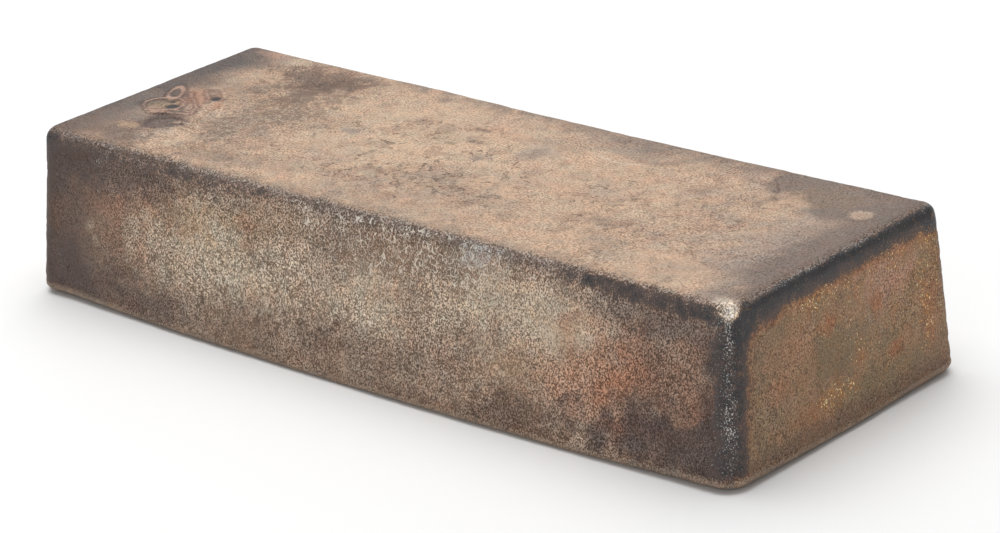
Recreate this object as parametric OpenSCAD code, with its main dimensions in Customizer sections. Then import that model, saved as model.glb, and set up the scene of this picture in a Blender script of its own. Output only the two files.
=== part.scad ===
// Cast metal ingot, lying on its wide poured face.
// The bar is one solid, as it left an open mould: drafted sides, rounded edges, long sides that
// swell a little towards the pour, and a rim where the free surface met the mould wall.
// X runs along the bar, Z is up, and the origin is the middle of the poured face.

/* [Bar] */
// Length of the bar at its poured face
length = 345; // [240:1:420]
// Width of the bar at the ends of its poured face
width = 131; // [90:1:180]
// Height from the poured face up to the face cast on the mould's floor
height = 66; // [40:1:100]

/* [Mould] */
// Draft of each end, in degrees from upright
end_draft = 2.8; // [0.5:0.1:8]
// Draft of each long side, in degrees from upright
side_draft = 6.3; // [0.5:0.1:10]
// Outward bow of each long side at mid-length, at the poured face
side_bow = 4; // [0:0.1:8]

/* [Edges] */
// Radius of the upright corners at the mould-floor face
corner_r_top = 6; // [6:0.1:12]
// Radius of the upright corners at the poured face
corner_r_rim = 9; // [7:0.1:16]
// Radius of the edge round the mould-floor face
top_edge_r = 5; // [2:0.1:6]

/* [Poured rim] */
// Height of the rounded rim, halfway along a side
rim_h = 2.8; // [1:0.1:5]
// How far the rim rounds inward, halfway along a side
rim_in = 4.2; // [2:0.1:6]
// Extra height of the rim at the corners, where the metal froze first
corner_rise = 1.8; // [0:0.1:4]
// Extra rounding inward at the corners
corner_in = 3.2; // [0:0.1:6]
// Distance from a corner over which the extra rim dies away
corner_reach = 45; // [20:1:80]

/* [Smoothness] */
// Facets round each upright corner
corner_steps = 8; // [4:1:12]
// Facets along each long side
side_steps = 18; // [8:1:40]
// Facets along each end
end_steps = 8; // [4:1:20]
// Facets up the poured rim
rim_steps = 7; // [3:1:12]
// Facets up the upper edge
edge_steps = 6; // [3:1:12]
// Facets up the wall between them
wall_steps = 4; // [1:1:8]

/* [Hidden] */

// Toned silver-grey metal
metal_colour = [0.52, 0.46, 0.40];
// Smallest corner radius left once an edge has rounded in
least_r = 0.6;
// The blank runs this far past both level faces, and is trimmed to them
spare = 1;
edge_r = min(top_edge_r, corner_r_top - least_r);
wall_top = height - edge_r;

// The sign of x and y at each corner, counter-clockwise from the front right
CORNERS = [[1, -1], [1, 1], [-1, 1], [-1, -1]];

// Half length, half width and corner radius of the drafted block at height z
function half_length(z) = length / 2 - z * tan(end_draft);
function half_width(z) = width / 2 - z * tan(side_draft);
function corner_r(z) = corner_r_rim + (corner_r_top - corner_r_rim) * z / height;

// A station is [corner, angle, share]: a point on that corner's arc, or for a share above 0,
// a point that far along the straight to the next corner.
function arc_stations(q) =
    [for (i = [0 : corner_steps]) [q, 90 * (q - 1) + 90 * i / corner_steps, 0]];
function straight_stations(q, steps) = [for (i = [1 : steps - 1]) [q, 90 * q, i / steps]];
STATIONS = [
    for (q = [0 : 3])
        for (s = concat(arc_stations(q), straight_stations(q, q % 2 == 0 ? end_steps : side_steps)))
            s
];

// A point on corner q's arc of a rounded rectangle with half sizes a and b and corner radius r
function arc_point(q, angle, a, b, r) =
    [CORNERS[q].x * (a - r) + r * cos(angle), CORNERS[q].y * (b - r) + r * sin(angle)];
function outline_point(s, a, b, r) =
    (1 - s[2]) * arc_point(s[0], s[1], a, b, r)
    + s[2] * arc_point((s[0] + 1) % 4, s[1], a, b, r);

// Where a station lies on the poured face's outline, and what it has of bow and of corner rim
function foot(s) = outline_point(s, half_length(0), half_width(0), corner_r_rim);
function bow(p) =
    side_bow * (1 - pow(p.x / half_length(0), 2)) * p.y / half_width(0);
function corner_share(p) =
    exp(-pow(norm([half_length(0) - abs(p.x), half_width(0) - abs(p.y)]) / corner_reach, 2));

// A point of the skin at height z, stepped inward from the drafted wall
function skin_point(s, z, inward) =
    let (
        r = max(corner_r(z) - inward, least_r),
        p = outline_point(s, half_length(z) - inward, half_width(z) - inward, r)
    )
    [p.x, p.y + bow(foot(s)) * (1 - z / height), z];

// The poured rim is a quarter ellipse that turns from the level face, at 90, up to the wall, at 0
function rim_ring(angle) = [
    for (s = STATIONS)
        let (
            k = corner_share(foot(s)),
            z = (rim_h + corner_rise * k) * (1 - sin(angle)),
            inward = (rim_in + corner_in * k) * (1 - cos(angle))
        )
        skin_point(s, z, inward)
];
// The upper edge is a quarter circle that turns from the wall, at 0, in to the level face, at 90
function edge_ring(angle) =
    [for (s = STATIONS) skin_point(s, wall_top + edge_r * sin(angle), edge_r * (1 - cos(angle)))];
// Rings between the first and last of the wall share out the height of each station
function wall_ring(low, high, share) =
    [for (i = [0 : len(STATIONS) - 1]) (1 - share) * low[i] + share * high[i]];
function raised(ring, by) = [for (p = ring) p + [0, 0, by]];

// The skin between closed rings of equal length, with a level cap fanned round its middle at each end
module loft(rings) {
    n = len(rings[0]);
    last = len(rings) - 1;
    low_middle = n * len(rings);
    high_middle = low_middle + 1;
    polyhedron(
        points = concat(
            [for (ring = rings) for (p = ring) p],
            [[0, 0, rings[0][0].z], [0, 0, rings[last][0].z]]
        ),
        faces = [
            for (i = [0 : n - 1])
                let (j = (i + 1) % n, top = n * last)
                for (f = concat(
                    [[i, j, low_middle], [top + j, top + i, high_middle]],
                    [
                        for (k = [0 : last - 1])
                            for (half = [[n + i, n + j], [n + j, j]])
                                [n * k + i, n * k + half[0], n * k + half[1]]
                    ]
                ))
                    f
        ]
    );
}

// The first and last rings stand clear of the level faces, so that the trim leaves clean outlines
module blank() {
    rim = [for (i = [1 : rim_steps]) rim_ring(90 - 90 * i / rim_steps)];
    edge = [for (i = [0 : edge_steps - 1]) edge_ring(90 * i / edge_steps)];
    wall = [
        for (i = [1 : wall_steps - 1]) wall_ring(rim[rim_steps - 1], edge[0], i / wall_steps)
    ];
    loft(concat([raised(rim_ring(90), -spare)], rim, wall, edge, [raised(edge_ring(90), spare)]));
}

// The blank between the two levels that the bar rests and stacks on
module ingot() {
    color(metal_colour)
        intersection() {
            blank();
            translate([-length, -width, 0]) cube([2 * length, 2 * width, height]);
        }
}

ingot();
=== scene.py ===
# %% [markdown]
# # A toned silver ingot
#
# The real object is one heavy casting. Silver was poured into an open iron mould, froze, shrank a
# little, and was tipped out on to its poured face. Everything seen on it comes from that: leaning
# sides, rounded edges, a rim where the free surface met the mould wall, a pitted skin, and a
# tarnish of many colours over it.
#
# So there is one piece here. First comes a skin, as a closed grid of points worked out by formula.
# Then the skin is pushed in and out by a sum of reliefs, then painted patch by patch, and last a
# material adds the grain that is finer than the grid. All lengths are in millimetres until the mesh
# is made.

import math

import bmesh
import bpy
import numpy as np
from mathutils import Matrix, Vector


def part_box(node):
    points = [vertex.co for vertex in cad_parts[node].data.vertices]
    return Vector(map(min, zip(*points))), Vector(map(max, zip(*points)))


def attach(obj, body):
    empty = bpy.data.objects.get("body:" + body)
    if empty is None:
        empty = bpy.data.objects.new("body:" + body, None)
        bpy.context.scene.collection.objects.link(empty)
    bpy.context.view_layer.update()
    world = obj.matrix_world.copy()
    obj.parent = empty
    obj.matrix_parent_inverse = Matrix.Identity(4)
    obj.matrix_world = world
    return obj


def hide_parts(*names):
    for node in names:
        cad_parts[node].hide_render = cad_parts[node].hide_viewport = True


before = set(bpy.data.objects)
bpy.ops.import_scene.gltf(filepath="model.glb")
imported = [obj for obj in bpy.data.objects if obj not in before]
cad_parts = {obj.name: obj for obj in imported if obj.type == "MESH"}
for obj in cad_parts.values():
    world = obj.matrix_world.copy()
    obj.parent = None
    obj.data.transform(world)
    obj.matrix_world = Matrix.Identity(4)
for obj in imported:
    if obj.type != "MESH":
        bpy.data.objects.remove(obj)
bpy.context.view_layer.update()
MM = 0.001
box_low, box_high = (np.array(corner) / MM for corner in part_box("ingot"))
HEIGHT = box_high[2]
print("frame box, mm:", box_low.round(2), box_high.round(2))

# %% [markdown]
# ## The mould's shape
#
# A mould leaves few numbers behind: the draft that lets the bar drop out, the radius of its
# corners and of its floor's edge, and how far its long walls bow. The poured rim is the casting's
# own: surface tension rounds it, and the corners freeze first and draw away, so it is deeper there.
# These are the same values as in the part's source, so that the skin lies on the solid it covers.

# %% Shape of the bar
LENGTH = 345.0
WIDTH = 131.0
END_LEAN = math.tan(math.radians(2.8))
SIDE_LEAN = math.tan(math.radians(6.3))
SIDE_BOW = 4.0
CORNER_R_TOP, CORNER_R_RIM = 6.0, 9.0
EDGE_R = 5.0
RIM_H, RIM_IN = 2.8, 4.2
CORNER_RISE, CORNER_IN, CORNER_REACH = 1.8, 3.2, 45.0
LEAST_R = 0.6


def half_sizes(z):
    """Half length and half width at height z: the half size at the floor less z times the lean."""
    return LENGTH / 2 - z * END_LEAN, WIDTH / 2 - z * SIDE_LEAN


def corner_radius(z):
    """The upright corner's radius, in a straight line from the poured face to the mould floor."""
    return CORNER_R_RIM + (CORNER_R_TOP - CORNER_R_RIM) * z / HEIGHT


# %% [markdown]
# ## A grid that closes
#
# The grid is a belt and two lids. The belt has one column for each station round the outline and
# one row for each step up the profile. Its stations start in the middle of the front left corner,
# so the lid can borrow the belt's last row as its four sides and fill in between them. That gives
# even cells on the top, where most of the detail is, and no seam or pole in sight.

# %% Stations round the outline
CELL = 1.16
ARC_CELLS = 12
long_cells = round(2 * (half_sizes(0)[0] - CORNER_R_RIM) / CELL)
short_cells = round(2 * (half_sizes(0)[1] - CORNER_R_RIM) / CELL)
CORNER_SIGNS = np.array([[1, -1], [1, 1], [-1, 1], [-1, -1]], float)

stations = []
for corner, straight in enumerate((short_cells, long_cells, short_cells, long_cells)):
    turn = 90.0 * (corner - 1) + np.linspace(0, 90, ARC_CELLS + 1)
    stations.append(np.column_stack([np.full(turn.size, corner), turn, np.zeros(turn.size)]))
    share = np.arange(1, straight) / straight
    stations.append(
        np.column_stack([np.full(share.size, corner), np.full(share.size, turn[-1]), share])
    )
stations = np.concatenate(stations)
first = np.flatnonzero((stations[:, 0] == 3) & (stations[:, 1] == 225.0))[0]
stations = np.roll(stations, -first, axis=0)
AROUND = len(stations)
NX, NY = long_cells + ARC_CELLS, short_cells + ARC_CELLS
print("stations:", AROUND, "of which", NX, "along a side and", NY, "along an end")


def outline(a, b, r):
    """Rounded rectangle of half sizes a and b with corner radius r, one point a station.

    On a corner, the arc's centre plus r times its direction. Between two corners, the mean of the
    ends of their arcs, weighted by the station's share of the way.
    """
    corner, share = stations[:, 0].astype(int), stations[:, 2]
    angle = np.radians(stations[:, 1])
    turn = np.column_stack([np.cos(angle), np.sin(angle)])
    a, b, r = (np.broadcast_to(v, corner.shape) for v in (a, b, r))
    reach = np.column_stack([a - r, b - r])
    here = CORNER_SIGNS[corner] * reach + r[:, None] * turn
    there = CORNER_SIGNS[(corner + 1) % 4] * reach + r[:, None] * turn
    return here + share[:, None] * (there - here)


# %% The belt: wall, rim and upper edge
foot = outline(*half_sizes(0), CORNER_R_RIM)
foot_share = foot / np.array(half_sizes(0))
bow = SIDE_BOW * (1 - foot_share[:, 0] ** 2) * foot_share[:, 1]
corner_gap = np.linalg.norm(np.array(half_sizes(0)) - np.abs(foot), axis=1)
cornerness = np.exp(-((corner_gap / CORNER_REACH) ** 2))


def skin_row(z, inward):
    """The drafted outline at height z, stepped inward, with the long sides' bow fading upward."""
    a, b = half_sizes(z)
    r = np.maximum(corner_radius(z) - inward, LEAST_R)
    xy = outline(a - inward, b - inward, r)
    z = np.broadcast_to(z, (AROUND,))
    return np.column_stack([xy[:, 0], xy[:, 1] + bow * (1 - z / HEIGHT), z])


def rim_row(angle):
    """A quarter ellipse, from the level poured face at 90 degrees up to the wall at 0."""
    rise = (RIM_H + CORNER_RISE * cornerness) * (1 - math.sin(math.radians(angle)))
    inward = (RIM_IN + CORNER_IN * cornerness) * (1 - math.cos(math.radians(angle)))
    return skin_row(rise, inward)


def edge_row(angle):
    """A quarter circle, from the wall at 0 degrees in to the level top at 90."""
    lift = EDGE_R * math.sin(math.radians(angle))
    return skin_row(HEIGHT - EDGE_R + lift, EDGE_R * (1 - math.cos(math.radians(angle))))


RIM_ROWS, EDGE_ROWS = 6, 8
wall_rows = round((HEIGHT - EDGE_R - RIM_H) / CELL)
rim = [rim_row(angle) for angle in np.linspace(90, 0, RIM_ROWS + 1)]
edge = [edge_row(angle) for angle in np.linspace(0, 90, EDGE_ROWS + 1)]
wall = [rim[-1] + (edge[0] - rim[-1]) * t for t in np.linspace(0, 1, wall_rows + 1)[1:-1]]
belt = np.array([*rim, *wall, *edge])
print("belt rows:", len(belt))

# %% The top lid


def fill_between(ring):
    """Fills a closed ring with a grid of NX by NY cells, as a Coons patch.

    Each point is the mean of the front and back sides at its share of the way across, plus the
    mean of the left and right sides at its share along, less the four corners' own mean.
    """
    front = ring[: NX + 1]
    right = ring[NX : NX + NY + 1]
    back = ring[NX + NY : 2 * NX + NY + 1][::-1]
    left = np.concatenate([ring[2 * NX + NY :], ring[:1]])[::-1]
    u = np.linspace(0, 1, NX + 1)[None, :, None]
    v = np.linspace(0, 1, NY + 1)[:, None, None]
    across = (1 - v) * front[None] + v * back[None]
    along = (1 - u) * left[:, None] + u * right[:, None]
    front_corners = (1 - u) * front[0] + u * front[-1]
    back_corners = (1 - u) * back[0] + u * back[-1]
    return across + along - ((1 - v) * front_corners + v * back_corners)


top = fill_between(belt[-1])

# %% The bottom lid
# It is hidden and almost plain, so it takes fewer points: rings that shrink on to the middle line.
UNDER_ROWS = 14
rim_foot = belt[0]
spine = np.column_stack(
    [
        np.clip(rim_foot[:, 0], -(LENGTH - WIDTH) / 2, (LENGTH - WIDTH) / 2),
        np.zeros(AROUND),
        np.zeros(AROUND),
    ]
)
under = np.array([rim_foot + (spine - rim_foot) * t for t in np.linspace(1, 0, UNDER_ROWS + 1)[:-1]])

# %% Join the three grids
points = np.concatenate([under.reshape(-1, 3), belt.reshape(-1, 3), top[1:-1, 1:-1].reshape(-1, 3)])


def cells(index):
    """The four corners of every cell of a grid of point numbers, counter-clockwise."""
    return np.stack([index[:-1, :-1], index[:-1, 1:], index[1:, 1:], index[1:, :-1]], -1).reshape(-1, 4)


sleeve = np.arange((len(under) + len(belt)) * AROUND).reshape(-1, AROUND)
sleeve_faces = cells(np.concatenate([sleeve, sleeve[:, :1]], axis=1))
lid = np.empty((NY + 1, NX + 1), int)
lid_ring = sleeve[-1]
lid[0] = lid_ring[: NX + 1]
lid[:, -1] = lid_ring[NX : NX + NY + 1]
lid[-1] = lid_ring[NX + NY : 2 * NX + NY + 1][::-1]
lid[:, 0] = np.concatenate([lid_ring[2 * NX + NY :], lid_ring[:1]])[::-1]
lid[1:-1, 1:-1] = sleeve.size + np.arange((NX - 1) * (NY - 1)).reshape(NY - 1, NX - 1)
faces = np.concatenate([sleeve_faces, cells(lid)])
print("points:", len(points), "faces:", len(faces))


def point_normals(p):
    """Each face's normal is the cross product of its diagonals; a point's is the sum of its faces'."""
    n = np.cross(p[faces[:, 2]] - p[faces[:, 0]], p[faces[:, 3]] - p[faces[:, 1]])
    total = np.zeros_like(p)
    for column in range(4):
        np.add.at(total, faces[:, column], n)
    return total / np.maximum(np.linalg.norm(total, axis=1, keepdims=True), 1e-9)


normals = point_normals(points)

# %% [markdown]
# ## Tools for relief and paint
#
# Nature's bumps have sizes but no pattern. Gradient noise gives that: random slopes on a lattice,
# blended smoothly between its points. It is worked out here for all points at once, so relief and
# paint can share one field, and pits can be dark where they are deep. A blot is the other tool: a
# soft ellipse on one face of the bar, whose edge is frayed by noise.

# %% Noise


def lattice_slopes(cell, seed):
    """Three pseudo-random numbers from -1 to 1 for each lattice point.

    The point's three whole numbers are mixed into one of 32 bits, and each slope is ten of them.
    """
    i, j, k = (cell[:, axis].astype(np.uint32) for axis in range(3))
    mixed = (i * 73856093) ^ (j * 19349663) ^ (k * 83492791) ^ np.uint32(seed * 2654435 % 2**32)
    for shift, factor in ((15, 2246822519), (13, 3266489917), (16, 668265263)):
        mixed = (mixed ^ (mixed >> shift)) * np.uint32(factor)
    mixed ^= mixed >> 15
    return np.stack([(mixed >> bits & 1023) / 511.5 - 1 for bits in (0, 10, 20)], -1)


def noise(p, size, seed):
    """Gradient noise, about -1 to 1, with bumps of the given size (one number or one an axis).

    At each of the eight lattice points round a point: its slope dotted with the way to the point,
    weighted by the smooth step of each coordinate. The lattice is moved far from 0, so that its
    numbers stay positive, and a little further for each seed.
    """
    q = p / size + 1000.0 + 0.37 * seed
    base = np.floor(q)
    f = q - base
    w = f * f * f * (f * (f * 6 - 15) + 10)
    total = np.zeros(len(p))
    for dx in (0, 1):
        for dy in (0, 1):
            for dz in (0, 1):
                step = np.array([dx, dy, dz], float)
                weight = np.prod(np.where(step > 0, w, 1 - w), axis=1)
                total += weight * np.sum(lattice_slopes(base + step, seed) * (f - step), axis=1)
    return total * 1.6


def rough(p, size, seed, octaves=3):
    """Noise with smaller noise on it: each octave has half the size and half the height."""
    return sum(noise(p, size / 2**k, seed + 11 * k) / 2**k for k in range(octaves))


def ramp(x, low, high):
    """Smooth step: 0 below low, 1 above high, and 3t^2 - 2t^3 between. High may be the lower one."""
    t = np.clip((x - low) / (high - low), 0, 1)
    return t * t * (3 - 2 * t)


# %% Faces, blots and strokes
x, y, z = points.T
nx, ny, nz = normals.T
FACE_WEIGHT = {
    "top": ramp(nz, 0.35, 0.85),
    "front": ramp(-ny, 0.35, 0.8),
    "back": ramp(ny, 0.35, 0.8),
    "right": ramp(nx, 0.35, 0.8),
    "left": ramp(-nx, 0.35, 0.8),
    "under": ramp(-nz, 0.5, 0.9),
}
FACE_PLACE = {
    "top": (x, y),
    "front": (x, z),
    "back": (x, z),
    "right": (y, z),
    "left": (y, z),
    "under": (x, y),
}
WALL = np.clip(sum(FACE_WEIGHT[name] for name in ("front", "back", "left", "right")), 0, 1)
FAR = 50.0


def reach_of(face, centre, radii, turn=0.0):
    """How far each point is from an ellipse's centre on a face, with 1 on the ellipse itself."""
    u, v = (place - middle for place, middle in zip(FACE_PLACE[face], centre))
    c, s = math.cos(math.radians(turn)), math.sin(math.radians(turn))
    return np.hypot((u * c + v * s) / radii[0], (v * c - u * s) / radii[1])


def blot(face, centre, radii, turn=0.0, soft=0.6, fray=0.5, seed=1):
    """A patch: 1 inside the ellipse, 0 outside, with an edge that is soft and frayed by noise."""
    reach = reach_of(face, centre, radii, turn)
    near = (reach < 1 + soft / 2 + 2 * fray) & (FACE_WEIGHT[face] > 0)
    size = max(2.8, 0.6 * min(radii))
    frayed = reach[near] + fray * rough(points[near], size, seed + 40)
    amount = np.zeros(len(points))
    amount[near] = ramp(frayed, 1 + soft / 2, 1 - soft / 2) * FACE_WEIGHT[face][near]
    return amount


def path_gap(face, path, wobble=1.0, seed=1):
    """Least distance, mm, to a chain of straight stretches, made unsteady by noise."""
    place = np.column_stack(FACE_PLACE[face])
    place = place + wobble * np.column_stack([noise(points, 7.0, seed), noise(points, 7.0, seed + 1)])
    least = np.full(len(points), np.inf)
    for start, end in zip(path[:-1], path[1:]):
        start, along = np.array(start, float), np.subtract(end, start)
        share = np.clip((place - start) @ along / (along @ along), 0, 1)
        least = np.minimum(least, np.linalg.norm(place - start - share[:, None] * along, axis=1))
    return least + FAR * (1 - FACE_WEIGHT[face])


def oval_gap(face, centre, radii, turn=0.0, fray=0.15, seed=1):
    """Distance, mm, to an ellipse's outline: below 0 inside it and above 0 outside."""
    reach = reach_of(face, centre, radii, turn) + fray * rough(points, 6.0, seed, 2)
    return (reach - 1) * min(radii) + FAR * (1 - FACE_WEIGHT[face])


def bell(gap, width):
    """1 on a line, less to either side: e to the power of minus the square of gap over width."""
    return np.exp(-((gap / width) ** 2))


# %% [markdown]
# ## Relief
#
# Five things shape the skin. The whole bar is a little out of true, since the mould was worn and
# the metal shrank. The walls are pitted where the metal chilled on the mould's dressing. The edges
# are knocked. Two corners are a little fuller than their draft, as a worn mould leaves them. And the
# poured rim has a lap: a fine lip with a crease over it, where the metal rose the last few
# millimetres. Sculpting could do all this by hand, but a sum of formulas can be read and changed.

# %% Out of true, and knocks on the edges
sway = 0.35 * noise(points, 85.0, 3) + 0.16 * noise(points, 30.0, 4) + 0.07 * rough(points, 11.0, 5)
top_edge = ramp(z, HEIGHT - 8, HEIGHT - 2) * ramp(nz, 0.985, 0.8) * ramp(nz, 0.02, 0.25)
corner_edge = ramp(np.abs(nx), 0.25, 0.6) * ramp(np.abs(ny), 0.25, 0.6)
knocks = -0.26 * ramp(noise(points, 16.0, 7), 0.1, 0.8) - 0.34 * ramp(noise(points, 3.6, 8), 0.0, 0.8)
edge_wear = knocks * np.clip(top_edge + corner_edge, 0, 1)

# %% Pits
# The pits are coarse in patches low on the long sides, and fine everywhere else.
front_sponge = blot("front", (-58, 24), (46, 17), 0, 1.0, 0.5, 41)
front_sponge += 0.7 * blot("front", (62, 26), (16, 14), 0, 1.0, 0.6, 42)
back_sponge = blot("back", (70, 28), (50, 18), 0, 1.0, 0.5, 43)
back_sponge += blot("back", (-90, 30), (30, 20), 0, 1.0, 0.5, 44)
sponge = np.maximum(front_sponge, back_sponge)
coarse_pits = ramp(rough(points, 4.0, 12, 2), 0.05, -0.5)
fine_pits = ramp(noise(points, 2.9, 13), -0.1, -0.6)
pitting = np.clip(0.35 + 0.7 * rough(points, 38.0, 14) + 0.6 * sponge, 0.08, 1) * (0.2 + 0.8 * WALL)
print("pitting: mean", pitting.mean().round(2), "most", pitting.max().round(2))

# %% Two corners that the mould left fuller
FOOT_FULL, FOOT_REACH = 1.4, 13.0
HEAD_FULL, HEAD_REACH = 1.1, 16.0
to_left_foot = np.hypot(x + LENGTH / 2, y + WIDTH / 2)
to_right_head = np.hypot(x - LENGTH / 2, y - WIDTH / 2)
left_foot = bell(to_left_foot, FOOT_REACH) * ramp(z, 62, 8)
right_head = bell(to_right_head, HEAD_REACH) * ramp(z, 10, 55)
fullness = (FOOT_FULL * left_foot + HEAD_FULL * right_head) * WALL
print("fuller corners, mm: up to", fullness.max().round(2))

# %% The lap over the poured rim
LIP, CREASE, LAP_WIDTH = 0.28, 0.30, 0.9
foot_gap = np.hypot(half_sizes(0)[0] - np.abs(x), half_sizes(0)[1] - np.abs(y))
rim_top = RIM_H + CORNER_RISE * bell(foot_gap, CORNER_REACH)
above_rim = z - rim_top - 0.5 * noise(points, 14.0, 16)
lap = LIP * bell(above_rim + 0.4, LAP_WIDTH) - CREASE * bell(above_rim - 1.3, LAP_WIDTH)
lap *= WALL * (0.55 + 0.5 * noise(points, 22.0, 17))

# %% Scars on the top, near the left end
# Each family of marks is one field of distances, so the relief can be soft and the colour crisp.
rim_gap = np.minimum.reduce(
    [
        np.abs(oval_gap("top", (-151.5, -2.5), (6.6, 2.7), -57, 0.12, 21)),
        np.abs(oval_gap("top", (-146, -14.5), (8.2, 7.6), 0, 0.14, 23)),
        np.abs(oval_gap("top", (-131, -29), (8.0, 6.0), 30, 0.3, 27)) + 0.5,
        path_gap("top", [(-146, 0), (-140, -5), (-133, -10), (-128, -17)], 1.2, 24),
        path_gap("top", [(-143, 6), (-138, 2), (-132, -4)], 1.2, 25),
        path_gap("top", [(-147, -22), (-140, -18), (-131, -15)], 0.8, 26),
        path_gap("top", [(-145, -24), (-137, -20), (-129, -18)], 0.8, 28),
        path_gap("top", [(-140, 8), (-134, 4), (-129, 0)], 1.0, 29) + 0.3,
    ]
)
hole_gap = np.minimum.reduce(
    [
        oval_gap("top", (-132.5, 0.7), (2.6, 1.9), -40, 0.2, 35),
        oval_gap("top", (-141.5, -14), (2.9, 2.3), 20, 0.2, 36),
        oval_gap("top", (-145, -10.5), (1.5, 1.1), 60, 0.2, 37),
    ]
)
puddle_gap = np.minimum(
    oval_gap("top", (-131, -29), (8.0, 6.0), 30, 0.3, 27),
    oval_gap("top", (-137, -25), (5.5, 4.0), -10, 0.3, 22),
)
crack_gap = np.minimum.reduce(
    [
        path_gap("top", [(107, 50), (109, 43), (115, 38), (117, 31), (122, 27)], 2.2, 30),
        path_gap("top", [(-125, -27), (-120, -29), (-114, -28)], 0.8, 38),
        path_gap("top", [(43, -3), (46, -9), (52, -13)], 1.5, 39) + 0.25,
        path_gap("top", [(-104, -41), (-94, -42), (-84, -43)], 2.0, 45) + 0.3,
        path_gap("top", [(-100, -46), (-90, -47), (-78, -44)], 2.0, 46) + 0.4,
        path_gap("top", [(-52, 20), (-48, 14), (-43, 10)], 1.5, 47) + 0.5,
    ]
)
pale_scratch_and_glint_gap = np.minimum.reduce(
    [
        path_gap("top", [(36, 31), (46, 29), (58, 31)], 1.5, 48),
        path_gap("top", [(-127, -25), (-119, -26), (-112, -26)], 0.8, 38) + 0.2,
        path_gap("top", [(136, 22), (131, 14)], 1.0, 49) + 0.5,
        # The three short marks below are painted glints: small bright highlights laid as pale colour.
        path_gap("top", [(115, -24), (118, -22)], 0.5, 51) + 0.3,
        path_gap("top", [(116, -33), (119, -34)], 0.5, 52) + 0.3,
        path_gap("top", [(91, -12), (94, -11)], 0.5, 53) + 0.3,
        path_gap("front", [(12, 65), (14, 59), (19, 53)], 1.2, 34),
        path_gap("front", [(88, 24), (90, 14), (94, 8)], 1.5, 50) + 0.3,
    ]
)
puddle = ramp(puddle_gap, 0.6, -0.8)
scars = 0.34 * bell(rim_gap, 0.9) - 0.7 * ramp(hole_gap, 0.8, -1.0) - 0.35 * puddle

# %% Add the reliefs up
INSET = 0.22
relief = (
    -INSET
    + sway
    + fullness
    + edge_wear
    + lap
    + scars
    - 0.36 * coarse_pits * pitting
    - 0.12 * fine_pits * (0.3 + pitting)
    - 0.25 * bell(crack_gap, 0.9)
    + 0.22 * bell(pale_scratch_and_glint_gap, 0.9) * WALL
    - 0.6 * blot("top", (30, 58), (70, 14), 0, 1.4, 0.1, 31)
    - 0.5 * blot("top", (-85, -57), (60, 12), 0, 1.4, 0.1, 32)
)
relief = np.where(nz < -0.7, -INSET + 0.25 * noise(points, 24.0, 33), relief)
skin = points + normals * relief[:, None]
skin[:, 2] -= skin[:, 2].min()
skin = np.clip(skin, box_low, box_high)
print("relief, mm: from", relief.min().round(2), "to", relief.max().round(2))

# %% [markdown]
# ## Paint
#
# Tarnish on silver is a film of sulphide. Thin film is straw and copper, thicker is purple and
# then blue, and thick film is black; where hands and shelves rub it off, it is pale metal. So the
# paint is laid as the film grew: a ground for each face, then clouds of noise, then blots put where
# this bar has them. Each blot has a face, a place, a size, a turn, a tone, a strength, and how soft
# and how frayed its edge is. The ends of the list lie on top.

# %% Tones


def tone(red, green, blue):
    """A colour given as screen values from 0 to 255, turned to linear light."""
    c = np.array([red, green, blue]) / 255
    return np.where(c <= 0.04045, c / 12.92, ((c + 0.055) / 1.055) ** 2.4)


TONES = {
    "sand": tone(181, 155, 131),
    "bone": tone(192, 169, 144),
    "straw": tone(190, 158, 122),
    "rose": tone(176, 138, 118),
    "drab": tone(146, 128, 112),
    "stone": tone(190, 168, 146),
    "chalk": tone(198, 184, 162),
    "bright": tone(232, 216, 196),
    "umber": tone(114, 92, 78),
    "plum": tone(113, 98, 89),
    "gloom": tone(81, 72, 69),
    "dusk": tone(84, 70, 67),
    "smoke": tone(138, 126, 118),
    "slate": tone(46, 50, 56),
    "copper": tone(180, 128, 96),
    "rust": tone(160, 100, 66),
    "olive": tone(150, 123, 95),
    "moss": tone(129, 110, 84),
}
GROUND = {
    "top": "sand",
    "front": "stone",
    "back": "stone",
    "right": "olive",
    "left": "olive",
    "under": "drab",
}
paint = np.zeros((len(points), 3))
weight = np.full(len(points), 1e-6)
for face, name in GROUND.items():
    paint += FACE_WEIGHT[face][:, None] * TONES[name]
    weight += FACE_WEIGHT[face]
paint /= weight[:, None]


def lay(name, amount):
    """Mixes a tone into the paint: the old colour times one less the amount, plus the new."""
    amount = np.clip(amount, 0, 1)[:, None]
    paint[:] = paint * (1 - amount) + TONES[name] * amount


# %% Clouds
LONG_SIDES = FACE_WEIGHT["front"] + FACE_WEIGHT["back"]
ENDS = FACE_WEIGHT["left"] + FACE_WEIGHT["right"]
lay("umber", 0.30 * ramp(rough(points, 40.0, 51), 0.0, 0.6) * LONG_SIDES)
lay("drab", 0.45 * ramp(rough(points, 22.0, 52), -0.1, 0.5) * LONG_SIDES)
lay("copper", 0.08 * ramp(rough(points, 30.0, 53), 0.1, 0.6) * WALL)
lay("smoke", 0.30 * ramp(rough(points, 26.0, 54), 0.0, 0.6) * FACE_WEIGHT["top"])
lay("rose", 0.25 * ramp(rough(points, 15.0, 50), 0.1, 0.6) * FACE_WEIGHT["top"])
lay("umber", 0.34 * ramp(rough(points, 6.5, 49), 0.15, 0.7) * FACE_WEIGHT["top"])
lay("bone", 0.30 * ramp(rough(points, 8.0, 48), 0.10, 0.6) * FACE_WEIGHT["top"])

drawn = points * (1, 1, 0.5)
lay("moss", 0.55 * ramp(rough(drawn, 7.0, 45), 0.0, 0.6) * ENDS)
lay("rust", 0.26 * ramp(rough(drawn, 5.0, 46), 0.15, 0.7) * ENDS)
lay("rose", 0.22 * ramp(rough(drawn, 9.0, 47), 0.1, 0.7) * ENDS)
lay("umber", 0.45 * ramp(rough(drawn, 4.0, 44), 0.2, 0.8) * ENDS)

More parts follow.
